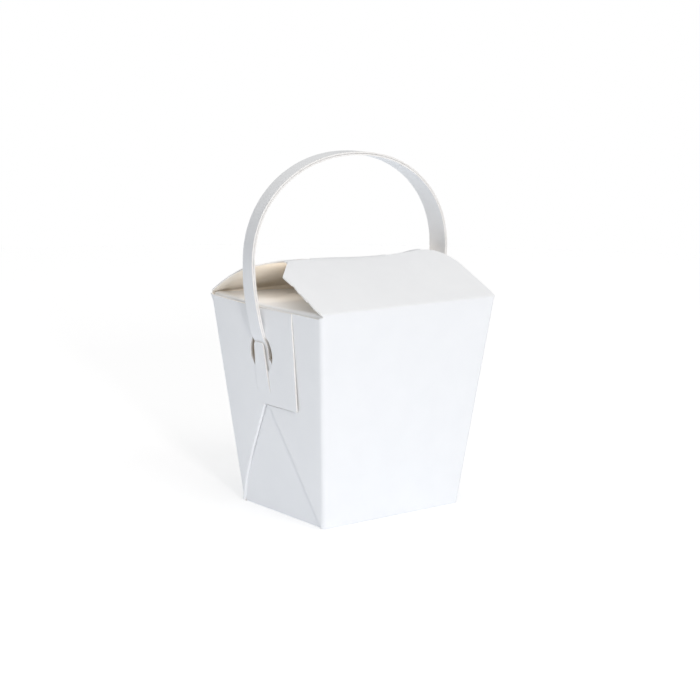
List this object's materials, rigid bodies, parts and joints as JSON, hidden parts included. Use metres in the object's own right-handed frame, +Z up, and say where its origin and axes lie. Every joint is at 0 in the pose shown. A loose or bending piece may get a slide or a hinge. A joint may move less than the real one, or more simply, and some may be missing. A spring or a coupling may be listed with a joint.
{
  "type": "noodle takeaway box",
  "caption": "Shut tapered takeaway carton of folded white board with a gabled lid and a looped paper strip handle.",
  "frame": {"origin": "middle of the base panel's underside", "axes": "+Z up the box to the handle, -Y towards the wall whose lid laps over the other, +X and -X towards the two end walls that hold the handle"},
  "size_m": [0.1016, 0.076, 0.1465],
  "materials": {
    "carton_board": "coated white board, satin",
    "handle_board": "white strip board, matte"
  },
  "bodies": {
    "root": {"carton": "carton_board", "handle": "handle_board"}
  },
  "joints": []
}
